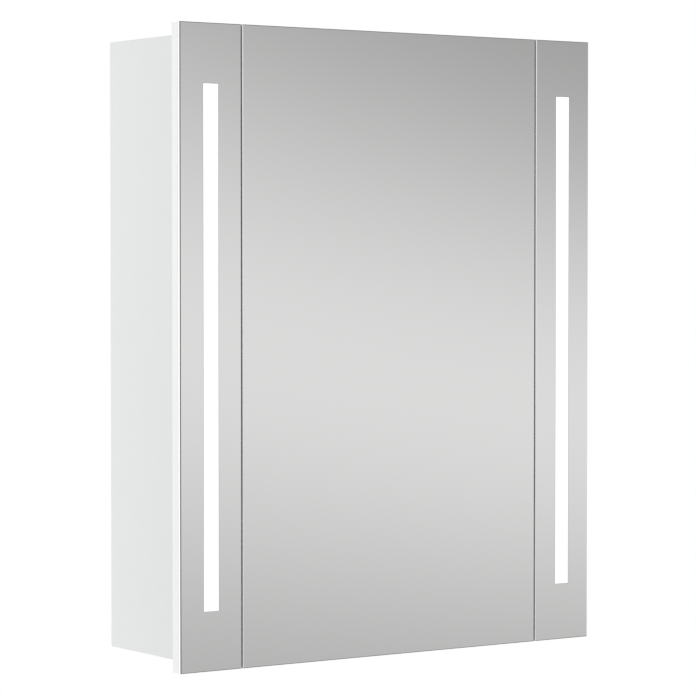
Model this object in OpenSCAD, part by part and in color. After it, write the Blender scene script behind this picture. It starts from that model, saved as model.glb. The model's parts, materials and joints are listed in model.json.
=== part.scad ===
// Bathroom medicine cabinet: white case, mirrored centre door, a fixed mirrored light panel each side.
// Frame: X to the right, Y into the wall, Z up. The origin is on the wall plane, at the centre of the
// four wall screws. The pieces are drawn from the lower edge of the mirrors up, and place() sets them
// in the frame. Millimetres. The door is drawn closed.

/* [Front] */
// overall width across the three mirror panes
overall_w = 600; // [520:10:760]
// height of the mirror panes
front_h = 750; // [730:10:900]
// depth from the wall to the face of the mirrors
overall_d = 160; // [150:5:200]
// width of each fixed light panel
light_w = 83; // [80:1:90]
// gap between neighbouring panes
seam = 2; // [2:0.5:3]
// thickness of the mirror glass
glass_t = 5; // [4:0.5:5]
// thickness of the white board behind the door's mirror
carrier_t = 12; // [12:1:14]
// gap between the closed door and the case, kept by the bumpers
door_gap = 1; // [1:0.1:2]

/* [Case] */
// overhang of the front past the case, top and bottom
overhang = 15; // [10:1:20]
// thickness of the case boards
board_t = 16; // [16:1:18]
// thickness of the back panel
back_t = 3; // [3:1:5]
// clear depth behind the back panel
back_recess = 16; // [16:1:20]
// depth of the grooves that hold the back panel
groove = 6; // [4:1:8]

/* [Lights] */
// width of the frosted light window
window_w = 20; // [12:1:24]
// height of the frosted light window
window_h = 610; // [400:10:610]
// distance between neighbouring LED chips
chip_pitch = 20; // [10:1:40]

/* [Shelves] */
// thickness of the glass shelves
shelf_t = 5; // [4:1:6]
// depth of the glass shelves
shelf_d = 96; // [80:1:100]
// hole rows that carry a shelf, counted from the lowest row
shelf_rows = [4, 9, 14];
// number of rows of shelf pin holes
hole_rows = 18; // [15:1:19]
// distance between neighbouring rows of holes
hole_pitch = 32; // [25:1:32]

/* [Hinges] */
// centre height of each hinge above the lower edge of the mirrors
hinge_z = [110, 640];
// distance of the arm's pivot from the door's edge
arm_pivot_in = 35.9; // [35:0.1:37]
// distance of the arm's pivot behind the mirror face
arm_pivot_back = 27.5; // [27:0.1:28]
// distance of the cup's pivot from the door's edge
cup_pivot_in = 8.5; // [8.2:0.1:8.8]
// distance of the cup's pivot behind the mirror face
cup_pivot_back = 15.2; // [15:0.1:15.4]

/* [Switch and socket] */
// size of the switch and socket unit along X, Y and Z
unit_size = [92, 51, 52];
// slope of the rocker at rest
rocker_tilt = 6; // [3:0.5:6]

/* [Hidden] */
$fn = 48;
half_w = overall_w / 2;
mid_z = front_h / 2;
front_y = -overall_d;
glass_y = front_y + glass_t;           // back of the mirror glass
case_y = glass_y + carrier_t + door_gap; // front edge of the case
back_y = -back_recess - back_t;        // front of the back panel
door_w = overall_w - 2 * (light_w + seam);
door_x = door_w / 2;
door_rear = glass_y + carrier_t;
panel_x = door_x + seam;               // inner edge of a light panel
lamp_x = half_w - light_w / 2;         // centre line of a light window
case_z0 = overhang;
case_z1 = front_h - overhang;
in_z0 = case_z0 + board_t;             // top of the bottom board
in_z1 = case_z1 - board_t;             // underside of the top board
in_x = half_w - board_t;               // inner face of a side panel
part_x = door_x + seam / 2 - board_t / 2; // inner face of a partition
case_d = -case_y;

// hinge
pivot_a = [door_x - arm_pivot_in, front_y + arm_pivot_back];
pivot_b = [door_x - cup_pivot_in, front_y + cup_pivot_back];
cup_x = door_x - 21.5;
cup_r = 17.5;
cup_wall = 1.5;
cup_depth = 11;
flange_t = 0.8;
cup_screw = [-9.5, 22.5];              // from the cup's centre, X and Z
link_h = 9;
link_t = 2;
pin_r = 1.5;
cup_pin_r = 1;
run = 0.05;                            // radial clearance of a turning pin
arm_web_x = part_x - 23.5;
arm_plate_y = case_y + 37;             // screw line of the mounting plate
arm_end_y = case_y + 70;
cheek_t = 1.5;
cheek_z = link_h / 2 + 0.3;

// joints of the case
dowel_r = 4;
cam_r = 7.5;
cam_depth = 12.5;
cam_x = in_x - 32;
bolt_r = 3.5;
joint_ys = [case_y + 30, back_y - 21];
board_mid = case_z0 + board_t / 2;

// shelf pins
pin_hole_r = 2.5;
pin_ys = [case_y + 32, back_y - 21];
first_hole_z = 77;
shelf_y0 = back_y - 7 - shelf_d;

// wall hanging
hang_x = part_x - 20;
hang_z = in_z1 - 28;                   // underside of the hook strap
hook_w = 20;
steel_t = 2;
plate_w = 60;
plate_hole_r = 3;
plate_holes = [hang_z - 34, hang_z + 2];

// light panel brackets
small_screw_r = 1.7;
side_screw_l = 12;
bracket_zs = [in_z0 + 14, mid_z, in_z1 - 14];
bracket_leg = 18;
bracket_t = 1.5;

// lamp
lamp_wall = 1.2;
lamp_half = window_w / 2 + 2;
lamp_z0 = mid_z - window_h / 2;
lamp_z1 = mid_z + window_h / 2;
slot_gap = 1;
base_t = 1.5;
strip_t = 1;
chip = [3.5, 0.8, 2.8];
feed_z = lamp_z0 + 8;
lead_r = 1.5;
bend_r = 6;

// driver and leads
driver = [40, 30, 150];
driver_z = 90;
cross_z = 300;
lead_y = -back_recess / 2;
inlet_z = 56;
clip_xs = [-150, 0, 150];

// switch and socket unit
unit_x = part_x - unit_size.x;
unit_y = back_y - unit_size.y;
socket_c = [unit_x + 34, in_z0 + unit_size.z / 2];
rocker_c = [unit_x + 74, in_z0 + unit_size.z / 2];
socket_r = 20;
socket_deep = 16;
rocker_w = 14;
rocker_h = 23.6;
rocker_y = unit_y + 2;

white = [0.91, 0.92, 0.92];
silver = [0.78, 0.80, 0.79];
steel = [0.66, 0.67, 0.68];

// ---- shared shapes ----

// from the lower edge of the mirrors to the centre of the wall screws
module place() translate([0, 0, -(plate_holes[0] + plate_holes[1]) / 2]) children();

// a box between two corners
module box(a, b) translate(a) cube(b - a);

// a round bar from point p along X, Y or Z
module bar_x(p, r, l) translate(p) rotate([0, 90, 0]) cylinder(r = r, h = l);
module bar_y(p, r, l) translate(p) rotate([-90, 0, 0]) cylinder(r = r, h = l);
module bar_z(p, r, l) translate(p) cylinder(r = r, h = l);

// the same thing on the left
module flip_x() mirror([1, 0, 0]) children();
// the same thing upside down about mid height
module flip_z() translate([0, 0, front_h]) mirror([0, 0, 1]) children();
module both_x() { children(); flip_x() children(); }
module both_z() { children(); flip_z() children(); }
module at_hinges() for (z = hinge_z) translate([0, 0, z]) children();

// a flat strip between two points of a plane, with round ends
module strip2d(p, q, w) {
    translate(p) rotate(atan2(q.y - p.y, q.x - p.x))
        translate([0, -w / 2]) square([norm(q - p), w]);
    translate(p) circle(d = w);
    translate(q) circle(d = w);
}

// a lead along a list of points, each stretch along X, Y or Z, with a round bend at each corner
module lead(points) {
    last = len(points) - 2;
    ways = [for (i = [0 : last]) (points[i + 1] - points[i]) / norm(points[i + 1] - points[i])];
    for (i = [0 : last]) {
        start = points[i] + (i > 0 ? bend_r : 0) * ways[i];
        end = points[i + 1] - (i < last ? bend_r : 0) * ways[i];
        translate(start) rotate([0, acos(ways[i].z), atan2(ways[i].y, ways[i].x)])
            cylinder(r = lead_r, h = norm(end - start));
    }
    for (i = [1 : 1 : last]) {
        x = -ways[i];
        y = ways[i - 1];
        z = cross(x, y);
        c = points[i] + bend_r * (ways[i] - ways[i - 1]);
        multmatrix([[x.x, y.x, z.x, c.x], [x.y, y.y, z.y, c.y], [x.z, y.z, z.z, c.z]])
            rotate_extrude(angle = 90) translate([bend_r, 0]) circle(r = lead_r);
    }
}

// ---- case joints, drawn once and used for the pieces and for their holes ----

module side_dowel() bar_x([in_x - 20, (joint_ys[0] + joint_ys[1]) / 2, board_mid], dowel_r, 30);
module partition_dowels() for (y = joint_ys)
    bar_z([part_x + board_t / 2, y, in_z0 - 12], dowel_r, 28);
module all_dowels() both_x() both_z() { side_dowel(); partition_dowels(); }
module cam_bolt_set() both_x() both_z() for (y = joint_ys)
    bar_x([cam_x + 3, y, board_mid], bolt_r, in_x + 10 - cam_x - 3);
module cam_lock_set() both_x() both_z() for (y = joint_ys)
    bar_z([cam_x, y, in_z0 - cam_depth], cam_r, cam_depth);

// ---- case ----

module side_right() color(white) difference() {
    box([in_x, case_y, case_z0], [half_w, 0, case_z1]);
    all_dowels();
    cam_bolt_set();
    back_sheet();
    bracket_side_sites() bar_x([0, 0, 0], small_screw_r, side_screw_l);
}

module bottom_board() color(white) difference() {
    box([-in_x, case_y, case_z0], [in_x, 0, in_z0]);
    all_dowels();
    cam_bolt_set();
    cam_lock_set();
    back_sheet();
}

// the back panel runs into a groove of each board round it
module back_sheet() box([-in_x - groove, back_y, in_z0 - groove],
    [in_x + groove, back_y + back_t, in_z1 + groove]);

module back_panel() color(white) difference() {
    back_sheet();
    both_x() box([hang_x - hook_w / 2 - 1, back_y - 1, hang_z - 3],
        [hang_x + hook_w / 2 + 1, back_y + back_t + 1, hang_z + steel_t + 3]);
    grommet_sites() bar_y([0, back_y - 1, 0], 7, back_t + 2);
}

module shelf_holes() for (y = pin_ys, k = [0 : hole_rows - 1])
    bar_x([part_x - 1, y, first_hole_z + k * hole_pitch], pin_hole_r, 11);

module partition_body() difference() {
    box([part_x, case_y, in_z0], [part_x + board_t, back_y, in_z1]);
    all_dowels();
    shelf_holes();
}

module partition_left() color(white) flip_x() partition_body();

module partition_right() color(white) difference() {
    partition_body();
    hinge_plate_shanks();
    switch_lead();
}

module dowels() color([0.80, 0.66, 0.45]) all_dowels();
module cam_locks() color(steel) difference() {
    cam_lock_set();
    cam_bolt_set();
}
module cam_bolts() color(steel) cam_bolt_set();

// ---- wall hanging ----

module hook_strap() {
    box([hang_x - hook_w / 2, back_y - 11, hang_z],
        [hang_x + hook_w / 2, -7, hang_z + steel_t]);
    box([hang_x - hook_w / 2, -7 - steel_t, hang_z - 8], [hang_x + hook_w / 2, -7, hang_z]);
}

module hanger_right() color([0.86, 0.86, 0.85]) difference() {
    box([part_x - 40, back_y - 36, in_z1 - 54], [part_x, back_y, in_z1 - 4]);
    hook_strap();
    hanger_screw_shanks();
}

module hanger_screw_shanks() for (z = [in_z1 - 44, in_z1 - 14])
    bar_y([hang_x, back_y - 36, z], 2.5, 20);

module hanger_hooks() color(steel) both_x() hook_strap();

module hanger_screws() color(steel) both_x() {
    hanger_screw_shanks();
    for (z = [in_z1 - 44, in_z1 - 14]) difference() {
        bar_y([hang_x, back_y - 38, z], 4.5, 2);
        box([hang_x - 0.5, back_y - 39, z - 3], [hang_x + 0.5, back_y - 37, z + 3]);
        box([hang_x - 3, back_y - 39, z - 0.5], [hang_x + 3, back_y - 37, z + 0.5]);
    }
}

module wall_plate_right() color(steel) {
    difference() {
        box([hang_x - plate_w / 2, -steel_t, hang_z - 44],
            [hang_x + plate_w / 2, 0, hang_z + 12]);
        for (z = plate_holes) bar_y([hang_x, -steel_t - 1, z], plate_hole_r, steel_t + 2);
    }
    box([hang_x - plate_w / 2, -12, hang_z - 8 - steel_t],
        [hang_x + plate_w / 2, -steel_t, hang_z - 8]);
    box([hang_x - plate_w / 2, -12, hang_z - 8],
        [hang_x + plate_w / 2, -12 + steel_t, hang_z - 2]);
}

// ---- light panels ----

module carrier_right() color(white) difference() {
    box([panel_x, glass_y, 0], [half_w, case_y, front_h]);
    box([lamp_x - lamp_half - slot_gap, glass_y - 1, lamp_z0 - 3],
        [lamp_x + lamp_half + slot_gap, case_y + 1, lamp_z1 + 3]);
    bracket_screw_sites() bar_y([0, -8, 0], small_screw_r, 8);
}

module mirror_right() color(silver) difference() {
    box([panel_x, front_y, 0], [half_w, glass_y, front_h]);
    box([lamp_x - window_w / 2, front_y - 1, lamp_z0], [lamp_x + window_w / 2, glass_y + 1, lamp_z1]);
}

module window_right() color([1, 1, 1])
    box([lamp_x - window_w / 2, front_y, lamp_z0], [lamp_x + window_w / 2, glass_y, lamp_z1]);

// angle brackets that hold a light panel to the side of the case
module bracket_screw_sites() for (z = bracket_zs) translate([in_x - 5.5, case_y, z]) children();
module bracket_side_sites() for (z = bracket_zs) translate([in_x, case_y + 11, z]) children();

module panel_brackets() color(steel) both_x() difference() {
    for (z = bracket_zs) {
        box([in_x - 9, case_y, z - 9], [in_x, case_y + bracket_t, z + 9]);
        box([in_x - bracket_t, case_y, z - 9], [in_x, case_y + bracket_leg, z + 9]);
    }
    bracket_screw_sites() bar_y([0, -1, 0], small_screw_r, bracket_t + 2);
    bracket_side_sites() bar_x([-bracket_t - 1, 0, 0], small_screw_r, bracket_t + 2);
}

module bracket_screws() color(steel) both_x() {
    bracket_screw_sites() {
        bar_y([0, -8, 0], small_screw_r, 8 + bracket_t);
        bar_y([0, bracket_t, 0], 3, 1.4);
    }
    bracket_side_sites() {
        bar_x([-bracket_t, 0, 0], small_screw_r, bracket_t + side_screw_l);
        bar_x([-bracket_t - 1.4, 0, 0], 3, 1.4);
    }
}

module led_profile_right() color([0.80, 0.81, 0.82]) difference() {
    union() {
        box([lamp_x - lamp_half - 4, case_y, lamp_z0 - 8],
            [lamp_x + lamp_half + 4, case_y + base_t, lamp_z1 + 8]);
        for (s = [-1, 1]) box([lamp_x + s * (lamp_half - lamp_wall / 2) - lamp_wall / 2, glass_y + 1,
            lamp_z0], [lamp_x + s * (lamp_half - lamp_wall / 2) + lamp_wall / 2, case_y, lamp_z1]);
    }
    bar_y([lamp_x, case_y - 1, feed_z], lead_r + run, base_t + 2);
}

module led_strip_right() color([0.93, 0.93, 0.88])
    box([lamp_x - 5, case_y - strip_t, lamp_z0 + 3], [lamp_x + 5, case_y, lamp_z1 - 3]);

module led_chips_right() color([1, 0.93, 0.6])
    for (z = [lamp_z0 + 15 : chip_pitch : lamp_z1 - 10])
        translate([lamp_x - chip.x / 2, case_y - strip_t - chip.y, z - chip.z / 2]) cube(chip);

module diffuser_right() color([0.97, 0.97, 0.97])
    box([lamp_x - lamp_half + lamp_wall, glass_y + 0.2, lamp_z0],
        [lamp_x + lamp_half - lamp_wall, glass_y + 2.2, lamp_z1]);

module profile_end_caps() color([0.85, 0.85, 0.86]) both_x() both_z()
    box([lamp_x - lamp_half, glass_y + 1, lamp_z0 - 2], [lamp_x + lamp_half, case_y, lamp_z0]);

// ---- power ----

module grommet_sites() {
    translate([lamp_x, 0, inlet_z]) children();
    translate([lamp_x - 12, 0, cross_z]) children();
    translate([-lamp_x, 0, cross_z]) children();
}

module cable_grommets() color([0.2, 0.2, 0.2]) {
    translate([lamp_x, 0, inlet_z]) grommet(4);
    translate([lamp_x - 12, 0, cross_z]) grommet(lead_r);
    translate([-lamp_x, 0, cross_z]) grommet(lead_r);
}

module grommet(bore) difference() {
    union() {
        bar_y([0, back_y, 0], 7, back_t);
        bar_y([0, back_y - 1.5, 0], 9.5, 1.5);
        bar_y([0, back_y + back_t, 0], 9.5, 1.5);
    }
    bar_y([0, back_y - 3, 0], bore, back_t + 6);
}

module driver_shanks() for (z = [driver_z - 6, driver_z + driver.z + 6])
    bar_y([lamp_x, back_y - 3, z], 1.6, 3);

module led_driver() color([0.95, 0.95, 0.94]) difference() {
    union() {
        box([lamp_x - driver.x / 2, back_y - driver.y, driver_z],
            [lamp_x + driver.x / 2, back_y, driver_z + driver.z]);
        box([lamp_x - 9, back_y - 2, driver_z - 12],
            [lamp_x + 9, back_y, driver_z + driver.z + 12]);
    }
    driver_shanks();
}

module driver_screws() color(steel) {
    difference() {
        driver_shanks();
        box([-half_w, back_y - 9, 0], [half_w, back_y - 2, front_h]);
    }
    for (z = [driver_z - 6, driver_z + driver.z + 6]) bar_y([lamp_x, back_y - 3.6, z], 3, 1.6);
}

module lead_right() color([0.9, 0.9, 0.9]) lead([
    [lamp_x + 14, back_y - 15, driver_z + driver.z],
    [lamp_x + 14, back_y - 15, driver_z + driver.z + 25],
    [lamp_x + 14, case_y + 12, driver_z + driver.z + 25],
    [lamp_x + 14, case_y + 12, feed_z],
    [lamp_x, case_y + 12, feed_z],
    [lamp_x, case_y, feed_z]]);

module lead_left() color([0.9, 0.9, 0.9]) lead([
    [lamp_x - 12, back_y - 15, driver_z + driver.z],
    [lamp_x - 12, back_y - 15, cross_z],
    [lamp_x - 12, lead_y, cross_z],
    [-lamp_x, lead_y, cross_z],
    [-lamp_x, back_y - 12, cross_z],
    [-lamp_x, back_y - 12, feed_z],
    [-lamp_x, case_y, feed_z]]);

// saddles that hold the cross lead to the back of the back panel
module lead_clips() color([0.93, 0.93, 0.92]) for (x = clip_xs) difference() {
    union() {
        box([x - 5, back_y + back_t, cross_z - 7], [x + 5, back_y + back_t + 1.5, cross_z + 7]);
        box([x - 3, back_y + back_t, cross_z - 3.2], [x + 3, lead_y + lead_r + 1.2, cross_z + 3.2]);
    }
    bar_x([x - 4, lead_y, cross_z], lead_r + run, 8);
}

// the lead enters the switch housing's side wall by this much
switch_entry = 6;
module switch_lead() lead([
    [lamp_x - 12, back_y - 20, driver_z],
    [lamp_x - 12, back_y - 20, inlet_z],
    [part_x - switch_entry, back_y - 20, inlet_z]]);
module lead_switch() color([0.9, 0.9, 0.9]) switch_lead();

// ---- switch and socket ----

module switch_housing() color([0.95, 0.95, 0.94]) difference() {
    box([unit_x, unit_y, in_z0], [part_x, back_y, in_z0 + unit_size.z]);
    bar_y([socket_c.x, unit_y - 1, socket_c.y], socket_r, socket_deep + 1);
    box([rocker_c.x - rocker_w / 2 - 0.5, unit_y - 1, rocker_c.y - rocker_h / 2 - 0.7],
        [rocker_c.x + rocker_w / 2 + 0.5, unit_y + 12, rocker_c.y + rocker_h / 2 + 0.7]);
    bar_x([rocker_c.x - rocker_w / 2 - 2, rocker_y, rocker_c.y], pin_r + run, rocker_w + 4);
    switch_lead();
}

module socket_insert() color([0.93, 0.93, 0.92]) difference() {
    bar_y([socket_c.x, unit_y, socket_c.y], socket_r, socket_deep);
    bar_y([socket_c.x, unit_y - 1, socket_c.y], socket_r - 1.5, socket_deep - 2);
    for (s = [-1, 1]) bar_y([socket_c.x + s * 9.5, unit_y, socket_c.y], 2.4, socket_deep + 1);
}

module rocker() color([0.96, 0.96, 0.95])
    translate([rocker_c.x, rocker_y, rocker_c.y]) rotate([rocker_tilt, 0, 0]) {
        h = rocker_h / 2;
        rotate([90, 0, 90]) translate([0, 0, -rocker_w / 2]) linear_extrude(rocker_w)
            polygon([[6, -h + 0.3], [6, h - 0.3], [-4.5, h], [-3, 0], [-4.5, -h]]);
        bar_x([-rocker_w / 2 - 1.9, 0, 0], pin_r, rocker_w + 3.8);
    }

// ---- shelves ----

function shelf_z(i) = first_hole_z + shelf_rows[i] * hole_pitch;

module shelf(i) color([0.75, 0.88, 0.84])
    box([-part_x + 1.5, shelf_y0, shelf_z(i) + 3],
        [part_x - 1.5, shelf_y0 + shelf_d, shelf_z(i) + 3 + shelf_t]);
module shelf_low() shelf(0);
module shelf_mid() shelf(1);
module shelf_high() shelf(2);

module shelf_pins() color(steel) both_x() for (i = [0 : 2], y = pin_ys) {
    bar_x([part_x, y, shelf_z(i)], pin_hole_r, 9);
    bar_x([part_x - 1, y, shelf_z(i)], 4, 1);
    bar_x([part_x - 9, y, shelf_z(i)], 3, 8);
}

// ---- hinges ----

module hinge_plate_shanks() at_hinges() for (s = [-1, 1])
    bar_x([part_x - 2, arm_plate_y, s * 16], 1.8, 14);

module hinge_plates() color(steel) difference() {
    at_hinges() {
        box([arm_web_x + cheek_t, arm_plate_y - 12, 0.2 - cheek_z],
            [part_x, arm_plate_y + 12, cheek_z - 0.2]);
        box([part_x - 2, arm_plate_y - 7, -22], [part_x, arm_plate_y + 7, 22]);
    }
    hinge_plate_shanks();
    hinge_arm_shanks();
}

module hinge_plate_screws() color(steel) {
    hinge_plate_shanks();
    at_hinges() for (s = [-1, 1]) bar_x([part_x - 3.5, arm_plate_y, s * 16], 3.5, 1.5);
}

module hinge_arm_shanks() at_hinges() bar_x([arm_web_x, arm_plate_y, 0], 2, 14);

module hinge_arms() color(steel) difference() {
    at_hinges() {
        for (s = [-1, 1]) translate([0, 0, s * (cheek_z + cheek_t / 2) - cheek_t / 2])
            linear_extrude(cheek_t) {
                strip2d(pivot_a, [arm_web_x + 7, case_y + 30], 9);
                translate([arm_web_x, case_y + 26]) square([13, arm_end_y - case_y - 26]);
            }
        box([arm_web_x, case_y + 27, -cheek_z - cheek_t],
            [arm_web_x + cheek_t, arm_end_y, cheek_z + cheek_t]);
        bar_z([pivot_a.x, pivot_a.y, -cheek_z - cheek_t], pin_r, 2 * (cheek_z + cheek_t));
    }
    hinge_arm_shanks();
}

module hinge_arm_screws() color(steel) {
    hinge_arm_shanks();
    at_hinges() bar_x([arm_web_x - 1.6, arm_plate_y, 0], 4, 1.6);
}

// the link hooks round the rim of its cup when the door stands open
module hinge_links() color(steel) at_hinges() translate([0, 0, -link_h / 2])
    linear_extrude(link_h) difference() {
        union() {
            low = [pivot_b.x - 1.9, pivot_b.y - 5];
            floor_end = [pivot_b.x - 7.2, pivot_b.y - 5.3];
            rise = [pivot_b.x - 13.2, pivot_b.y - 1.4];
            translate(pivot_b) circle(r = 2);
            strip2d(pivot_b, low, link_t);
            strip2d(low, floor_end, link_t);
            strip2d(floor_end, rise, link_t);
            strip2d(rise, pivot_a, link_t);
            translate(pivot_a) circle(r = 3.2);
        }
        translate(pivot_a) circle(r = pin_r + run);
        translate(pivot_b) circle(r = cup_pin_r + run);
    }

module cup_screw_sites() at_hinges() for (s = [-1, 1])
    translate([cup_x + cup_screw.x, door_rear, s * cup_screw.y]) children();

module hinge_cups() color(steel) difference() {
    at_hinges() {
        difference() {
            union() {
                bar_y([cup_x, door_rear - cup_depth, 0], cup_r, cup_depth);
                bar_y([cup_x, door_rear, 0], cup_r + 1, flange_t);
                box([cup_x - 16, door_rear, -28], [cup_x - 3, door_rear + flange_t, 28]);
            }
            bar_y([cup_x, door_rear - cup_depth + 1, 0], cup_r - cup_wall, cup_depth + 2);
        }
        bar_z([pivot_b.x, pivot_b.y, -9.8], cup_pin_r, 19.6);
    }
    cup_screw_sites() bar_y([0, -1, 0], small_screw_r, 3);
}

module hinge_cup_screws() color(steel) cup_screw_sites() {
    bar_y([0, -9, 0], small_screw_r, 9 + flange_t);
    bar_y([0, flange_t, 0], 3.2, 1.2);
}

// ---- door ----

module door_carrier() color(white) difference() {
    box([-door_x, glass_y, 0], [door_x, door_rear, front_h]);
    at_hinges() bar_y([cup_x, door_rear - cup_depth, 0], cup_r, cup_depth + 1);
    cup_screw_sites() bar_y([0, -9, 0], small_screw_r, 10);
}

module door_mirror() color(silver)
    box([-door_x, front_y, 0], [door_x, glass_y, front_h]);

module door_inner_mirror() color(silver)
    box([-part_x + 12, door_rear, in_z0 + 12], [cup_x - 28, door_rear + 3, in_z1 - 12]);

module door_bumpers() color([0.9, 0.9, 0.9]) both_x() both_z()
    bar_y([door_x - 25, door_rear, board_mid], 5, door_gap - 0.1);

place() flip_x() side_right();  // side_left
place() side_right();
place() flip_z() bottom_board();  // top_board
place() bottom_board();
place() back_panel();
place() partition_left();
place() partition_right();
place() dowels();
place() cam_locks();
place() cam_bolts();
place() flip_x() hanger_right();  // hanger_left
place() hanger_right();
place() hanger_hooks();
place() hanger_screws();
place() flip_x() wall_plate_right();  // wall_plate_left
place() wall_plate_right();
place() flip_x() carrier_right();  // carrier_left
place() carrier_right();
place() flip_x() mirror_right();  // mirror_left
place() mirror_right();
place() flip_x() window_right();  // window_left
place() window_right();
place() panel_brackets();
place() bracket_screws();
place() flip_x() led_profile_right();  // led_profile_left
place() led_profile_right();
place() flip_x() led_strip_right();  // led_strip_left
place() led_strip_right();
place() flip_x() led_chips_right();  // led_chips_left
place() led_chips_right();
place() flip_x() diffuser_right();  // diffuser_left
place() diffuser_right();
place() profile_end_caps();
place() led_driver();
place() driver_screws();
place() cable_grommets();
place() lead_left();
place() lead_right();
place() lead_switch();
place() lead_clips();
place() switch_housing();
place() socket_insert();
place() rocker();
place() shelf_low();
place() shelf_mid();
place() shelf_high();
place() shelf_pins();
place() hinge_plates();
place() hinge_plate_screws();
place() hinge_arms();
place() hinge_arm_screws();
place() hinge_links();
place() hinge_cups();
place() hinge_cup_screws();
place() door_carrier();
place() door_mirror();
place() door_inner_mirror();
place() door_bumpers();
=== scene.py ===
"""Looks of the wall-hung medicine cabinet: mirrored door between two lit mirror panels."""
import json
import math

import bmesh
import bpy
from mathutils import Matrix, Vector

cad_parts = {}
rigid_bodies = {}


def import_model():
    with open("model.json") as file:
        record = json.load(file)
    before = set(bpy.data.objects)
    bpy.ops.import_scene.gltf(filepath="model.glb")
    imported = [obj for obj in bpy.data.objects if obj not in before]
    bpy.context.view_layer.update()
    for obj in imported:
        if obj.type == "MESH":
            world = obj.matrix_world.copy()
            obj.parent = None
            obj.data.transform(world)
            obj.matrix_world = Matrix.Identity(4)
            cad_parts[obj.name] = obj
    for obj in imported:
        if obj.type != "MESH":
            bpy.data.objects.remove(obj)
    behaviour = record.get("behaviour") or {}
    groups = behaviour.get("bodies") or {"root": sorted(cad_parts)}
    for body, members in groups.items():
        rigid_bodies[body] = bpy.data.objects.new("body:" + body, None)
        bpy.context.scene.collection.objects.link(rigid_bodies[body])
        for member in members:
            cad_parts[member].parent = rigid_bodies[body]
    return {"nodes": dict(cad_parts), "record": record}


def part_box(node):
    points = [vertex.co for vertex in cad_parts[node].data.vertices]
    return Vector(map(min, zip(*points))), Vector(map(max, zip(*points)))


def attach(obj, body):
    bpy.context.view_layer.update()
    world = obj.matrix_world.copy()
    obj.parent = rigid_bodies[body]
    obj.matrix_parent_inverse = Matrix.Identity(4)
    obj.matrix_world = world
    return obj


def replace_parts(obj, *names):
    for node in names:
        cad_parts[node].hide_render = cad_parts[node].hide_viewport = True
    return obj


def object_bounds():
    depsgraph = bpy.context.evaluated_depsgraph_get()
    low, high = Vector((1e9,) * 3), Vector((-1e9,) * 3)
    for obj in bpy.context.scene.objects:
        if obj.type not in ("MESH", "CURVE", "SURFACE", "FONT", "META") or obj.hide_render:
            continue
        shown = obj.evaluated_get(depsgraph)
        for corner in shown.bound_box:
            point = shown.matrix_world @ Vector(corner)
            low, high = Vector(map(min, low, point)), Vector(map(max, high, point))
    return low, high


for leftover in list(bpy.data.objects):
    bpy.data.objects.remove(leftover, do_unlink=True)
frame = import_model()
cad_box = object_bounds()
NODES = frame["nodes"]
MM = 0.001

# ---------------------------------------------------------------- camera

# the camera stands to the left of the front, a little above the middle of the mirrors
LOW, HIGH = cad_box
EYE_HEIGHT = 0.4822       # above the lower edge of the mirrors
EYE_POS = (-2.052, -3.0605)
EYE_TURN = math.radians(34.39)
EYE_DIP = math.radians(1.8)
LENS = 152.57

camera_data = bpy.data.cameras.new("studio_camera")
camera_data.lens = LENS
camera_data.sensor_width = 36
camera_data.clip_end = 60
camera = bpy.data.objects.new("studio_camera", camera_data)
camera.location = (EYE_POS[0], EYE_POS[1], LOW.z + EYE_HEIGHT)
camera.rotation_euler = (math.pi / 2 - EYE_DIP, 0, -EYE_TURN)
bpy.context.collection.objects.link(camera)
bpy.context.scene.camera = camera
bpy.context.scene.view_settings.view_transform = "Standard"
bpy.context.scene.view_settings.look = "None"

# ---------------------------------------------------------------- node helpers

NOISE_LOW, NOISE_HIGH = 0.3, 0.7    # most of a noise's values lie between these


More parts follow.
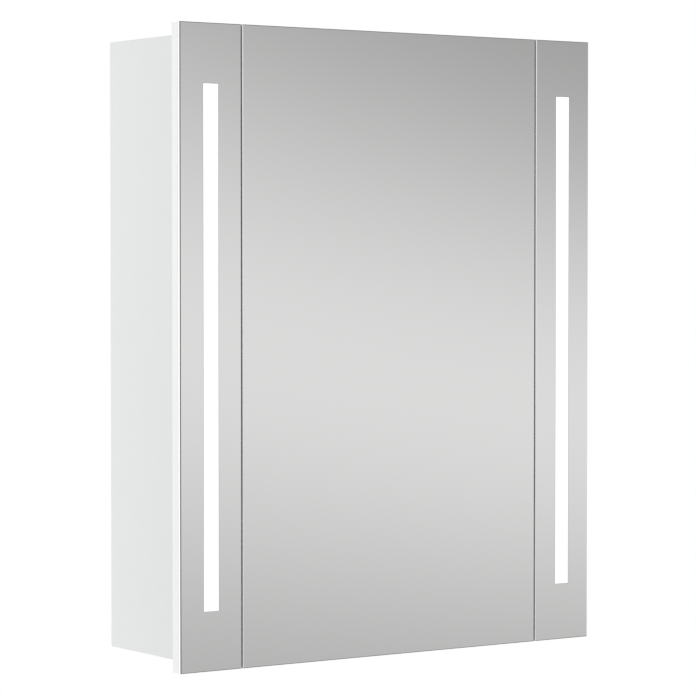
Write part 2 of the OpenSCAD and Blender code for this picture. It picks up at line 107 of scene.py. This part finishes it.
class Graph:
    """A node tree with short calls for the nodes that the materials use."""

    def __init__(self, tree):
        tree.nodes.clear()
        self.tree = tree

    def node(self, kind, **settings):
        n = self.tree.nodes.new(kind)
        for key, value in settings.items():
            setattr(n, key, value)
        return n

    def link(self, out, into):
        self.tree.links.new(out, into)

    def feed(self, socket, value):
        """Sets a socket, or links it if the value is another socket."""
        if isinstance(value, bpy.types.NodeSocket):
            self.link(value, socket)
        else:
            socket.default_value = value

    def math(self, operation, a, b=0.0):
        n = self.node("ShaderNodeMath", operation=operation)
        self.feed(n.inputs[0], a)
        self.feed(n.inputs[1], b)
        return n.outputs[0]

    def noise(self, coords, scale, detail=3.0, rough=0.5, stretch=None):
        if stretch:
            m = self.node("ShaderNodeMapping")
            m.inputs["Scale"].default_value = stretch
            self.link(coords, m.inputs["Vector"])
            coords = m.outputs["Vector"]
        n = self.node("ShaderNodeTexNoise")
        n.inputs["Scale"].default_value = scale
        n.inputs["Detail"].default_value = detail
        n.inputs["Roughness"].default_value = rough
        self.link(coords, n.inputs["Vector"])
        return n.outputs["Fac"]

    def ramp(self, fac, stops):
        """stops is a list of (position, colour or grey)."""
        n = self.node("ShaderNodeValToRGB")
        ramp = n.color_ramp
        while len(ramp.elements) < len(stops):
            ramp.elements.new(0.5)
        for element, (place, colour) in zip(ramp.elements, stops):
            element.position = place
            element.color = rgba(colour)
        self.link(fac, n.inputs["Fac"])
        return n.outputs["Color"]

    def tones(self, noise, first, second):
        """From the first colour to the second over the middle of a noise's range."""
        return self.ramp(noise, [(NOISE_LOW, first), (NOISE_HIGH, second)])

    def mix(self, fac, first, second):
        """The first colour where fac is 0, the second where it is 1."""
        n = self.node("ShaderNodeMix", data_type="RGBA")
        self.link(fac, n.inputs[0])
        for socket, value in ((n.inputs[6], first), (n.inputs[7], second)):
            self.feed(socket, value if isinstance(value, bpy.types.NodeSocket) else rgba(value))
        return n.outputs[2]

    def span(self, noise, low, high):
        """A value from low to high over the middle of a noise's range."""
        n = self.node("ShaderNodeMapRange")
        n.inputs["From Min"].default_value = NOISE_LOW
        n.inputs["From Max"].default_value = NOISE_HIGH
        n.inputs["To Min"].default_value = low
        n.inputs["To Max"].default_value = high
        self.link(noise, n.inputs["Value"])
        return n.outputs["Result"]

    def bump(self, height, strength, distance):
        n = self.node("ShaderNodeBump")
        n.inputs["Strength"].default_value = strength
        n.inputs["Distance"].default_value = distance
        self.link(height, n.inputs["Height"])
        return n.outputs["Normal"]


def rgba(colour):
    if isinstance(colour, (int, float)):
        colour = (colour, colour, colour)
    return (*colour[:3], 1.0)


def shade(colour, factor):
    return tuple(min(1.0, c * factor) for c in colour)


# ---------------------------------------------------------------- materials


def material(name):
    """A new material, its graph, its object coordinates and its Principled shader."""
    m = bpy.data.materials.new(name)
    m.use_nodes = True
    g = Graph(m.node_tree)
    out = g.node("ShaderNodeOutputMaterial")
    skin = g.node("ShaderNodeBsdfPrincipled")
    g.link(skin.outputs[0], out.inputs["Surface"])
    coords = g.node("ShaderNodeTexCoord").outputs["Object"]
    return m, g, coords, skin


GRAIN = 900.0             # scale of the fine grain of plain materials
GRAIN_DEPTH = 0.004 * MM


def plain(name, colour, rough=(0.35, 0.45), metal=0.0, vary=0.015, patch=9.0, stretch=None,
          coat=0.0, glow=0.0):
    """Paint, plastic, rubber or metal: soft patches of colour, uneven gloss and a fine grain.

    glow is painted light, given off by a surface that is no lamp.
    """
    m, g, coords, skin = material(name)
    patches = g.noise(coords, patch, stretch=stretch)
    g.link(g.tones(patches, shade(colour, 1 - vary), shade(colour, 1 + vary)),
           skin.inputs["Base Color"])
    gloss = g.noise(coords, patch * 6, detail=5, stretch=stretch)
    g.link(g.span(gloss, *rough), skin.inputs["Roughness"])
    fine = g.noise(coords, GRAIN, detail=2, stretch=stretch)
    g.link(g.bump(fine, 0.5, GRAIN_DEPTH), skin.inputs["Normal"])
    skin.inputs["Metallic"].default_value = metal
    skin.inputs["Coat Weight"].default_value = coat
    skin.inputs["Emission Color"].default_value = (1.0, 1.0, 1.0, 1.0)
    skin.inputs["Emission Strength"].default_value = glow
    return m


def facing(g, axis):
    """The surface's own normal along one axis, from -1 to 1."""
    parts = g.node("ShaderNodeSeparateXYZ")
    g.link(g.node("ShaderNodeNewGeometry").outputs["Normal"], parts.inputs[0])
    return parts.outputs[axis]


def board_material(name, colour, line=None, raw_back=False):
    """Melamine faced board: a faint texture, maybe a darker line along Y, maybe a raw back.

    line is the line's place along Y, its width and its tone. On the case boards it is the edge
    band's joint; on the carriers it is painted shade of the groove where board and glass meet."""
    m, g, coords, skin = material(name)
    patches = g.noise(coords, 4.0)
    tone = g.tones(patches, shade(colour, 0.994), shade(colour, 1.006))
    if line:
        line_y, line_w, line_tone = line
        parts = g.node("ShaderNodeSeparateXYZ")
        g.link(coords, parts.inputs[0])
        off_line = g.math("ABSOLUTE", g.math("SUBTRACT", parts.outputs[1], line_y))
        on_line = g.math("LESS_THAN", off_line, line_w / 2)
        tone = g.mix(on_line, tone, shade(colour, line_tone))
    if raw_back:
        clouds = g.noise(coords, 14.0, detail=4)
        fibres = g.noise(coords, 420.0, detail=6, rough=0.75, stretch=(1, 1, 0.6))
        mottle = g.math("ADD", g.math("MULTIPLY", clouds, 0.15), g.math("MULTIPLY", fibres, 0.85))
        brown = g.ramp(mottle, [(0.34, (0.27, 0.175, 0.10)), (0.5, (0.37, 0.255, 0.155)),
                                (0.66, (0.49, 0.36, 0.235))])
        tone = g.mix(g.math("GREATER_THAN", facing(g, 1), 0.5), tone, brown)
    g.link(tone, skin.inputs["Base Color"])
    g.link(g.span(g.noise(coords, 30.0, detail=5), 0.36, 0.46), skin.inputs["Roughness"])
    pebbles = g.noise(coords, 700.0, detail=3)
    g.link(g.bump(pebbles, 0.5, 0.03 * MM), skin.inputs["Normal"])
    return m


def mirror_material(name, tint, rough):
    """Silvered glass. The faintest haze keeps the surface from being a perfect flat tone."""
    m, g, coords, skin = material(name)
    haze = g.noise(coords, 3.0, detail=4)
    g.link(g.tones(haze, shade(tint, 0.994), tint), skin.inputs["Base Color"])
    g.link(g.span(g.noise(coords, 14.0, detail=6), rough * 0.6, rough * 1.4),
           skin.inputs["Roughness"])
    skin.inputs["Metallic"].default_value = 1.0
    return m


def glass_material(name, face, edge, face_alpha, edge_alpha):
    """Clear shelf glass: pale seen through its faces, deep green seen through its edges."""
    m, g, coords, skin = material(name)
    streak = g.noise(coords, 25.0, detail=3, stretch=(0.3, 1, 1))
    on_face = g.math("GREATER_THAN", g.math("ABSOLUTE", facing(g, 2)), 0.7)
    edges = g.tones(streak, shade(edge, 0.85), edge)
    g.link(g.mix(on_face, edges, face), skin.inputs["Base Color"])
    g.link(g.math("ADD", edge_alpha, g.math("MULTIPLY", on_face, face_alpha - edge_alpha)),
           skin.inputs["Alpha"])
    g.link(g.span(streak, 0.02, 0.06), skin.inputs["Roughness"])
    return m


def lit_material(name, colour, glow):
    """Sand-blasted glass or opal plastic with light behind it."""
    m, g, coords, skin = material(name)
    blast = g.noise(coords, 1400.0, detail=2)
    g.link(g.tones(blast, shade(colour, 0.97), colour), skin.inputs["Base Color"])
    g.link(g.bump(blast, 0.4, 0.02 * MM), skin.inputs["Normal"])
    cloud = g.noise(coords, 6.0, detail=1, stretch=(1, 1, 0.3))
    g.link(g.tones(cloud, 0.985, 1.0), skin.inputs["Emission Color"])
    skin.inputs["Roughness"].default_value = 0.55
    skin.inputs["Emission Strength"].default_value = glow
    return m


def wood_material(name, light, dark):
    m, g, coords, skin = material(name)
    rings = g.noise(coords, 60.0, detail=6, rough=0.6, stretch=(1, 1, 0.08))
    g.link(g.ramp(rings, [(0.35, dark), (0.6, light)]), skin.inputs["Base Color"])
    g.link(g.span(rings, 0.5, 0.7), skin.inputs["Roughness"])
    g.link(g.bump(rings, 0.3, 0.1 * MM), skin.inputs["Normal"])
    return m


def zinc_material(name):
    """Zinc plate: grey crystals with uneven gloss, and fine drawing lines from the rolling."""
    m, g, coords, skin = material(name)
    cells = g.node("ShaderNodeTexVoronoi")
    cells.inputs["Scale"].default_value = 320.0
    g.link(coords, cells.inputs["Vector"])
    spangle = g.node("ShaderNodeSeparateColor")
    g.link(cells.outputs["Color"], spangle.inputs[0])
    g.link(g.ramp(spangle.outputs[0], [(0.0, (0.52, 0.55, 0.58)), (1.0, (0.66, 0.68, 0.70))]),
           skin.inputs["Base Color"])
    lines = g.noise(coords, 500.0, detail=4, stretch=(1, 1, 0.04))
    g.link(g.span(lines, 0.28, 0.46), skin.inputs["Roughness"])
    g.link(g.bump(lines, 0.3, 0.02 * MM), skin.inputs["Normal"])
    skin.inputs["Metallic"].default_value = 1.0
    return m


BOARD = (0.735, 0.754, 0.749)
CARRIER = (0.86, 0.874, 0.869)
BAND_T = 1.0 * MM         # thickness of the boards' edge band
case_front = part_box("side_left")[0].y
glass_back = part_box("door_mirror")[1].y
LOOKS = {
    "case_board": board_material("case_board", BOARD, line=(case_front + BAND_T, 0.15 * MM, 0.86)),
    "back_sheet": board_material("back_sheet", BOARD, raw_back=True),
    # the carriers' darker line at the glass's back is painted shade of the groove where board and
    # glass meet
    "carrier": board_material("white_edge", CARRIER, line=(glass_back, 0.8 * MM, 0.78)),
    "birch": wood_material("birch", (0.72, 0.52, 0.30), (0.55, 0.36, 0.18)),
    "zinc": zinc_material("zinc"),
    "nickel": plain("nickel", (0.70, 0.68, 0.65), rough=(0.16, 0.3), metal=1.0, vary=0.05,
                    patch=60.0, stretch=(1, 1, 0.2)),
    "hanger_plastic": plain("hanger_plastic", (0.74, 0.74, 0.72), rough=(0.4, 0.55)),
    "mirror": mirror_material("mirror_face", (0.915, 0.915, 0.91), 0.01),
    # the glass edges give off a little light: painted light, for the edges are no lamp
    "glass_edge_painted_glow": plain("glass_edge_painted_glow", (0.97, 0.99, 0.98), rough=(0.3, 0.4), vary=0.01, glow=0.06),
    # the glass edges inside the seams are dark grey: painted shade of the narrow gaps between panes
    "seam_edge_painted_shade": plain("seam_edge_painted_shade", (0.37, 0.40, 0.39), rough=(0.1, 0.2), vary=0.06, coat=0.5),
    "arris": plain("arris", (0.06, 0.065, 0.06), rough=(0.15, 0.25), vary=0.03),
    # the arrises at the seams are bright and part metal: a painted glint
    "seam_arris_painted_glint": plain("seam_arris_painted_glint", (0.93, 0.94, 0.935), rough=(0.1, 0.2), metal=0.6, vary=0.02),
    "stripped_edge": plain("stripped_edge", (0.42, 0.44, 0.43), rough=(0.2, 0.3), metal=0.5,
                           vary=0.05, patch=200.0),
    "mirror_back": plain("mirror_back", (0.33, 0.35, 0.36), rough=(0.5, 0.6)),
    "frosted": lit_material("frosted_window", (0.45, 0.45, 0.45), 0.66),
    "clear_glass": glass_material("shelf_glass", (0.90, 0.97, 0.95), (0.22, 0.55, 0.46), 0.16,
                                  0.85),
    "anodised": plain("anodised", (0.78, 0.79, 0.80), rough=(0.3, 0.42), metal=1.0, vary=0.03,
                      patch=80.0, stretch=(1, 1, 0.05)),
    "circuit": plain("circuit", (0.88, 0.88, 0.83), rough=(0.3, 0.4)),
    "led": plain("led_phosphor", (0.95, 0.72, 0.18), rough=(0.15, 0.25), vary=0.05, patch=400.0),
    "opal": lit_material("opal_diffuser", (0.6, 0.6, 0.6), 0.6),
    "white_plastic": plain("white_plastic", (0.84, 0.84, 0.825), rough=(0.32, 0.34), vary=0.008,
                           coat=0.1),
    "lead_sheath": plain("lead_sheath", (0.78, 0.78, 0.77), rough=(0.45, 0.6)),
    "black_rubber": plain("black_rubber", (0.025, 0.025, 0.026), rough=(0.6, 0.75), vary=0.2),
    "bumper": plain("bumper", (0.75, 0.76, 0.75), rough=(0.3, 0.45)),
    # the screw metal darkened for the cross recesses: painted shade in the hollows
    "recess": plain("recess", (0.30, 0.30, 0.31), rough=(0.4, 0.55), metal=1.0, vary=0.08,
                    patch=300.0),
    "brass": plain("brass", (0.78, 0.62, 0.34), rough=(0.2, 0.35), metal=1.0, vary=0.05,
                   patch=200.0),
}

# ---------------------------------------------------------------- CAD nodes

slots = {row["node"]: row["material_slot"] for row in frame["record"]["subparts"]}
for name, obj in NODES.items():
    look = slots[name]
    if look == "white_board":
        look = "carrier" if "carrier" in name else "case_board"
    if name == "back_panel":
        look = "back_sheet"
    for material_slot in obj.material_slots:
        material_slot.material = LOOKS[look]


WELD_GAP = 0.005 * MM
SHARP_TURN = math.radians(50)   # edges that turn by more than this are rounded


def soften(name, width, segments):
    """Welds a CAD node's faces and rounds its sharp edges a little, width in millimetres."""
    obj = NODES[name]
    weld = obj.modifiers.new("weld", "WELD")
    weld.merge_threshold = WELD_GAP
    bevel = obj.modifiers.new("soft_edges", "BEVEL")
    bevel.width = width * MM
    bevel.segments = segments
    bevel.limit_method = "ANGLE"
    bevel.angle_limit = SHARP_TURN
    bevel.harden_normals = True
    tidy = obj.modifiers.new("tidy", "WELD")
    tidy.merge_threshold = WELD_GAP


# width of the rounding in millimetres, its segments, and the nodes that get it
SOFT_EDGES = (
    (0.4, 2, ("side_left", "side_right", "top_board", "bottom_board", "carrier_left",
              "carrier_right", "door_carrier", "partition_left", "partition_right",
              "wall_plate_left", "wall_plate_right", "hanger_hooks", "panel_brackets",
              "profile_end_caps", "hinge_plates")),
    (0.3, 2, ("hinge_arms", "hinge_links", "hinge_cups", "shelf_pins", "cam_locks",
              "socket_insert", "shelf_low", "shelf_mid", "shelf_high")),
    (0.8, 3, ("rocker", "cable_grommets", "lead_clips")),
)
for width, segments, names in SOFT_EDGES:
    for name in names:
        soften(name, width, segments)

# ---------------------------------------------------------------- mesh helpers


def new_piece(name, bm, looks, body, sharp=35):
    """A finished piece from mesh code, on its body, with one material per face index.

    Edges that turn by more than sharp degrees stay sharp and the rest are shaded smooth."""
    bmesh.ops.recalc_face_normals(bm, faces=bm.faces)
    for face in bm.faces:
        face.smooth = True
    for edge in bm.edges:
        edge.smooth = edge.calc_face_angle(math.pi) < math.radians(sharp)
    mesh = bpy.data.meshes.new(name)
    bm.to_mesh(mesh)
    bm.free()
    for look in looks:
        mesh.materials.append(LOOKS[look])
    obj = bpy.data.objects.new(name, mesh)
    bpy.context.collection.objects.link(obj)
    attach(obj, body)
    return obj


def solids(name):
    """The corner points of each separate solid of a CAD node, as lists of vectors.

    Points are compared to a hundredth of a millimetre."""
    mesh = NODES[name].data
    spots = [tuple(round(c / MM, 2) for c in v.co) for v in mesh.vertices]
    leader = {spot: spot for spot in spots}

    def lead(spot):
        while leader[spot] != spot:
            spot = leader[spot]
        return spot

    for face in mesh.polygons:
        first = lead(spots[face.vertices[0]])
        for i in face.vertices[1:]:
            leader[lead(spots[i])] = first
    groups = {}
    for spot in leader:
        groups.setdefault(lead(spot), []).append(Vector(spot) * MM)
    return [groups[key] for key in sorted(groups)]


def span_of(points):
    """Lowest and highest corner of a list of points."""
    return (Vector(min(p[i] for p in points) for i in range(3)),
            Vector(max(p[i] for p in points) for i in range(3)))


def round_outline(radius):
    return lambda angle: radius


def cross_outline(reach, half_width):
    """The outline of a plus sign as a radius for each angle."""
    def outline(angle):
        c, s = abs(math.cos(angle)) + 1e-9, abs(math.sin(angle)) + 1e-9
        return max(min(reach / c, half_width / s), min(half_width / c, reach / s))
    return outline


def stack(bm, centre, axis, layers, angles):
    """Joins outlines, each (outline, height, face index), into a closed skin along an axis."""
    turn = Vector((0, 0, 1)).rotation_difference(axis).to_matrix()
    rings = []
    for outline, height, _ in layers:
        rings.append([bm.verts.new(centre + turn @ Vector((outline(a) * math.cos(a),
                                                           outline(a) * math.sin(a), height)))
                      for a in angles])
    for first, second, (_, _, look) in zip(rings, rings[1:], layers[1:]):
        for i in range(len(angles)):
            j = (i + 1) % len(angles)
            face = bm.faces.new((first[i], first[j], second[j], second[i]))
            face.material_index = look
    for ring, look in ((rings[0], layers[0][2]), (rings[-1], layers[-1][2])):
        bm.faces.new(ring).material_index = look


def even_angles(count):
    return [2 * math.pi * i / count for i in range(count)]


def screw_angles(reach, half_width):
    """Angles that meet every corner of a plus sign, with two more between on each side."""
    corner = math.atan(half_width / reach)
    steps = (0, corner, (2 * corner + math.pi / 4) / 3, (corner + math.pi / 2) / 3, math.pi / 4)
    quarter = sorted({*steps, *(math.pi / 2 - a for a in steps[1:])} - {math.pi / 2})
    return [q + k * math.pi / 2 for k in range(4) for q in quarter]


# ---------------------------------------------------------------- screws

# face indexes of a screw: its metal, and its cross recess in a darker copy of the metal, painted shade
METAL, RECESS_PAINTED_SHADE = range(2)
END_SLICE = 0.3 * MM      # corner points this close to a screw's end belong to that end
HEAD_PROFILE = ((1, 0.35), (0.93, 0.68), (0.80, 0.9), (0.62, 1))   # shares of radius and height
CROSS_REACH, CROSS_HALF_WIDTH = 0.52, 0.13                         # shares of the head's radius
CROSS_FLOOR, CROSS_TAPER = 0.45, 0.8   # height share of the recess's bottom, and its size there
TIP_R, TIP_LENGTH = 0.25, 1.5          # in radii of the shank
STRAIGHT_SHARE = 0.4                   # least share of the shank that stays straight


def screw(bm, points):
    """A pan-head screw with a cross recess, in the place and size of a plain CAD screw."""
    low, high = span_of(points)
    size = high - low
    along = min(range(3), key=lambda i: abs(size[i - 1] - size[i - 2]))
    others = [i for i in range(3) if i != along]
    middle = (low + high) / 2

    def off_axis(p):
        return math.hypot(*(p[i] - middle[i] for i in others))

    ends = [max(off_axis(p) for p in points if abs(p[along] - end[along]) < END_SLICE)
            for end in (low, high)]
    way = 1 if ends[1] > ends[0] else -1
    head_r, shank_r = max(ends), min(ends)
    rim = [p[along] for p in points if off_axis(p) > 0.9 * head_r]
    head_h = max(rim) - min(rim)
    axis = Vector((0, 0, 0))
    axis[along] = way
    seat = middle.copy()
    seat[along] = (max(rim) if way > 0 else min(rim)) - way * head_h
    length = size[along] - head_h
    reach, half_width = head_r * CROSS_REACH, head_r * CROSS_HALF_WIDTH
    straight = max(length - TIP_LENGTH * shank_r, length * STRAIGHT_SHARE)
    layers = [(round_outline(shank_r * TIP_R), -length, METAL),
              (round_outline(shank_r), -straight, METAL),
              (round_outline(shank_r), 0, METAL),
              (round_outline(head_r), 0, METAL),
              *((round_outline(head_r * r), head_h * h, METAL) for r, h in HEAD_PROFILE),
              (cross_outline(reach, half_width), head_h, METAL),
              (cross_outline(reach * CROSS_TAPER, half_width * CROSS_TAPER),
               head_h * CROSS_FLOOR, RECESS_PAINTED_SHADE)]
    stack(bm, seat, axis, layers, screw_angles(reach, half_width))


for node, body, look in (("hanger_screws", "cabinet", "zinc"), ("bracket_screws", "cabinet", "zinc"),
                         ("driver_screws", "cabinet", "zinc"),
                         ("hinge_plate_screws", "cabinet", "nickel"),
                         ("hinge_arm_screws", "cabinet", "nickel"),
                         ("hinge_cup_screws", "door", "nickel")):
    bm = bmesh.new()
    for points in solids(node):
        screw(bm, points)
    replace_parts(new_piece(f"cross_{node}", bm, (look, "recess"), body), node)

# ---------------------------------------------------------------- mirror panes

SIDES = ("bottom", "right", "top", "left")
FACE, OUTER_ARRIS, PAINTED_GLOW_EDGE, BACK, SEAM_ARRIS_PAINTED_GLINT, SEAM_EDGE_PAINTED_SHADE, STRIPPED = range(7)
PANE_LOOKS = ("mirror", "arris", "glass_edge_painted_glow", "mirror_back", "seam_arris_painted_glint", "seam_edge_painted_shade",
              "stripped_edge")
ARRIS = 0.8 * MM          # width of the polished arris at the face, and half of it at the back
STRIPPED_W = 0.6 * MM     # dark line where the silver ends beside a window


def ring(bm, low, high, y, inset):
    """Four corners of a rectangle that stands across Y."""
    x0, z0, x1, z1 = low.x + inset, low.z + inset, high.x - inset, high.z - inset
    return [bm.verts.new(p) for p in ((x0, y, z0), (x1, y, z0), (x1, y, z1), (x0, y, z1))]


def band(bm, first, second, looks):
    """Four faces between two rings, with one look for each side or one for all."""
    for i in range(4):
        j = (i + 1) % 4
        face = bm.faces.new((first[i], first[j], second[j], second[i]))
        face.material_index = looks if isinstance(looks, int) else looks[i]


def pane(name, node, body, seams=(), hole=None, flip=False):
    """A mirror pane with polished arrises, and an opening where its window is.

    seams are the sides that face another pane."""
    low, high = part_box(node)
    front, back = (high.y, low.y) if flip else (low.y, high.y)
    step = ARRIS if back > front else -ARRIS
    # arrises at the seams get a painted glint
    arrises = [SEAM_ARRIS_PAINTED_GLINT if side in seams else OUTER_ARRIS for side in SIDES]
    # edges at the seams get painted shade, the other edges a faint painted glow
    edges = [SEAM_EDGE_PAINTED_SHADE if side in seams else PAINTED_GLOW_EDGE for side in SIDES]
    bm = bmesh.new()
    face_ring = ring(bm, low, high, front, ARRIS)
    side_front = ring(bm, low, high, front + step, 0)
    side_back = ring(bm, low, high, back - step / 2, 0)
    back_ring = ring(bm, low, high, back, ARRIS / 2)
    band(bm, face_ring, side_front, arrises)
    band(bm, side_front, side_back, edges)
    band(bm, side_back, back_ring, edges)
    if hole:
        line_ring = ring(bm, *hole, front, -STRIPPED_W)
        hole_front = ring(bm, *hole, front, 0)
        hole_back = ring(bm, *hole, back, 0)
        band(bm, face_ring, line_ring, FACE)
        band(bm, line_ring, hole_front, STRIPPED)
        band(bm, hole_front, hole_back, PAINTED_GLOW_EDGE)
        band(bm, hole_back, back_ring, BACK)
    else:
        bm.faces.new(face_ring).material_index = FACE
        bm.faces.new(back_ring).material_index = BACK
    obj = new_piece(name, bm, PANE_LOOKS, body, sharp=10)
    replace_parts(obj, node)


pane("pane_left", "mirror_left", "cabinet", ("right",), hole=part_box("window_left"))
pane("pane_right", "mirror_right", "cabinet", ("left",), hole=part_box("window_right"))
pane("pane_door", "door_mirror", "door", ("left", "right"))
pane("pane_inner", "door_inner_mirror", "door", flip=True)

# ---------------------------------------------------------------- small pieces

SAME_SPOT = 0.01 * MM     # corner points this close together are one
ON_SIDE = 0.02 * MM       # a point this close to a side of a box lies on it


def rounded_copy(name, node, body, outer, inner):
    """A CAD node's shape with its outer edges rounded wide and its other edges just broken.

    outer and inner are the two widths in millimetres."""
    low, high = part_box(node)
    bm = bmesh.new()
    bm.from_mesh(NODES[node].data)
    bmesh.ops.remove_doubles(bm, verts=bm.verts, dist=SAME_SPOT)
    bmesh.ops.dissolve_limit(bm, angle_limit=math.radians(1), verts=bm.verts, edges=bm.edges,
                             use_dissolve_boundaries=False)

    def on_sides(p):
        """How many of the box's six sides a point lies on."""
        return sum(min(abs(p[i] - low[i]), abs(p[i] - high[i])) < ON_SIDE for i in range(3))

    sharp = [e for e in bm.edges if e.calc_face_angle(0) > SHARP_TURN]
    wide = [e for e in sharp if on_sides((e.verts[0].co + e.verts[1].co) / 2) >= 2]
    rest = [e for e in sharp if e not in wide]
    for edges, width, segments in ((rest, inner, 2), (wide, outer, 4)):
        edges = [e for e in edges if e.is_valid]
        if edges:
            bmesh.ops.bevel(bm, geom=edges, offset=width * MM, offset_type="OFFSET",
                            segments=segments, profile=0.5, affect="EDGES", clamp_overlap=True)
    obj = new_piece(name, bm, (slots[node],), body, sharp=32)
    even = obj.modifiers.new("even_normals", "WEIGHTED_NORMAL")
    even.keep_sharp = True
    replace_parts(obj, node)


DOME_STEPS = (1, 0.97, 0.9, 0.78, 0.6, 0.38, 0.15)    # shares of a bumper's radius


def bumpers():
    """Domed self-adhesive bumpers."""
    bm = bmesh.new()
    for points in solids("door_bumpers"):
        low, high = span_of(points)
        centre = (low + high) / 2
        centre.y = low.y
        r, h = (high.x - low.x) / 2, high.y - low.y
        dome = [(round_outline(r * k), h * math.sqrt(1 - k ** 4), 0) for k in DOME_STEPS]
        stack(bm, centre, Vector((0, 1, 0)), [(round_outline(r * 0.9), 0, 0), *dome],
              even_angles(32))
    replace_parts(new_piece("domed_bumpers", bm, ("bumper",), "door"), "door_bumpers")


def strip(bm, path, side, width, thick):
    """A bent sheet strip: path is its middle line, side the direction across its width."""
    half = side * width / 2
    rings = []
    for i, p in enumerate(path):
        ahead = path[min(i + 1, len(path) - 1)] - path[max(i - 1, 0)]
        out = ahead.cross(side).normalized() * thick / 2
        rings.append([bm.verts.new(q) for q in (p - half - out, p + half - out, p + half + out,
                                                p - half + out)])
    for first, second in zip(rings, rings[1:]):
        band(bm, first, second, 0)
    bm.faces.new(rings[0])
    bm.faces.new(rings[-1])


SOCKET_WALL = 1.5 * MM
SOCKET_BOTTOM = 2 * MM
CLIP_W, CLIP_T = 5 * MM, 0.8 * MM
# millimetres behind the socket's mouth, and millimetres in from its wall
CLIP_BENDS = ((9, 0), (6, 1.2), (3.6, 1.9), (1.6, 1.0), (0.8, 0.1))
PIN_REACH = 9.5 * MM      # from the socket's middle to a pin hole
SLEEVE_R, SLEEVE_BORE = 2.35 * MM, 1.9 * MM


def earth_clips():
    """The two bent earth clips of the socket."""
    low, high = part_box("socket_insert")
    centre = (low + high) / 2
    reach = (high.x - low.x) / 2 - SOCKET_WALL - CLIP_T / 2
    bends = [(high.y - SOCKET_BOTTOM, 0), *((low.y + y * MM, inward * MM) for y, inward in CLIP_BENDS)]
    bm = bmesh.new()
    for s in (-1, 1):
        path = [Vector((centre.x, y, centre.z + s * (reach - inward))) for y, inward in bends]
        strip(bm, path, Vector((1, 0, 0)), CLIP_W, CLIP_T)
    new_piece("earth_clips", bm, ("nickel",), "cabinet")


def pin_sleeves():
    """The brass sleeves at the bottom of the socket's pin holes."""
    low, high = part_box("socket_insert")
    centre = (low + high) / 2
    bm = bmesh.new()
    for s in (-1, 1):
        mouth = Vector((centre.x + s * PIN_REACH, high.y - SOCKET_BOTTOM + 0.3 * MM, centre.z))
        stack(bm, mouth, Vector((0, 1, 0)),
              [(round_outline(SLEEVE_R), 1.6 * MM, 0), (round_outline(SLEEVE_R), 0, 0),
               (round_outline(SLEEVE_BORE), 0, 0), (round_outline(SLEEVE_BORE), 1.4 * MM, 0)],
              even_angles(32))
    new_piece("pin_sleeves", bm, ("brass",), "cabinet")


bumpers()
earth_clips()
pin_sleeves()
for node in ("switch_housing", "hanger_left", "hanger_right", "led_driver"):
    rounded_copy(f"rounded_{node}", node, "cabinet", outer=2.0, inner=0.3)

# ---------------------------------------------------------------- room

FLOOR_DROP = 1.1          # the cabinet hangs this high
FLOOR_RADIUS = 5.0
floor_mesh = bpy.data.meshes.new("studio_floor")
bm = bmesh.new()
bmesh.ops.create_circle(bm, cap_ends=True, segments=96, radius=FLOOR_RADIUS,
                        matrix=Matrix.Translation((0, 0, LOW.z - FLOOR_DROP)))
bm.to_mesh(floor_mesh)
bm.free()
floor = bpy.data.objects.new("studio_floor", floor_mesh)
bpy.context.collection.objects.link(floor)
floor_mesh.materials.append(plain("studio_floor", (0.93, 0.93, 0.93), rough=(0.8, 0.9),
                                  vary=0.004, patch=0.6))
floor.visible_glossy = False      # its rim would draw a line across the mirrors

# the studio: white to the eye, and in reflections a soft bright band that leans and fans out
BAND_LEAN = 0.24          # how steeply the band runs, at eye level
BAND_FAN = 1.5            # how much steeper it gets with each step up
BAND_HALF_WIDTH = 0.3     # past this to either side, the band runs on level
# tones by a ray's rise plus 0.5: a level ray is at 0.5, and past 0 and 1 the end tones run on
BAND = [(0.0, 0.62), (0.32, 0.44), (0.46, 0.77), (0.62, 0.38), (1.0, 0.85)]
SOFT_LIGHT = 0.82         # what lights matt surfaces from all around

world = bpy.data.worlds.new("studio")
bpy.context.scene.world = world
world.use_nodes = True
g = Graph(world.node_tree)
direction = g.node("ShaderNodeTexCoord").outputs["Generated"]
sideways = g.node("ShaderNodeVectorMath", operation="DOT_PRODUCT")
g.link(direction, sideways.inputs[0])
sideways.inputs[1].default_value = (math.cos(EYE_TURN), math.sin(EYE_TURN), 0)
upward = g.node("ShaderNodeSeparateXYZ")
g.link(direction, upward.inputs[0])
rise = upward.outputs[2]
aside = g.math("MAXIMUM", g.math("MINIMUM", sideways.outputs["Value"], BAND_HALF_WIDTH),
               -BAND_HALF_WIDTH)
lean = g.math("MULTIPLY", aside, g.math("ADD", g.math("MULTIPLY", rise, BAND_FAN), BAND_LEAN))
room = g.ramp(g.math("ADD", g.math("ADD", rise, lean), 0.5), BAND)
room.node.color_ramp.interpolation = "EASE"
ray = g.node("ShaderNodeLightPath")
glossy = g.mix(ray.outputs["Is Glossy Ray"], (SOFT_LIGHT,) * 3, room)
background = g.node("ShaderNodeBackground")
g.link(g.mix(ray.outputs["Is Camera Ray"], glossy, (1.0, 1.0, 1.0)), background.inputs["Color"])
g.link(background.outputs[0], g.node("ShaderNodeOutputWorld").inputs["Surface"])


def lamp(name, place, aim, width, height, watts):
    """A soft box that lights the object but isn't itself seen or mirrored."""
    data = bpy.data.lights.new(name, "AREA")
    data.shape = "RECTANGLE"
    data.size, data.size_y = width, height
    data.energy = watts
    obj = bpy.data.objects.new(name, data)
    obj.location = place
    obj.rotation_euler = (Vector(aim) - Vector(place)).to_track_quat("-Z", "Y").to_euler()
    obj.visible_camera = False
    obj.visible_glossy = False
    bpy.context.collection.objects.link(obj)


middle = (LOW + HIGH) / 2
lamp("side_box", (-0.85, 0.55, middle.z), middle, 0.5, 2.4, 4.2)
lamp("front_box", (0.5, -2.4, middle.z + 0.5), middle, 1.2, 1.8, 14)
lamp("key_box", (-1.5, -2.4, middle.z + 1.8), middle, 1.6, 1.6, 14)
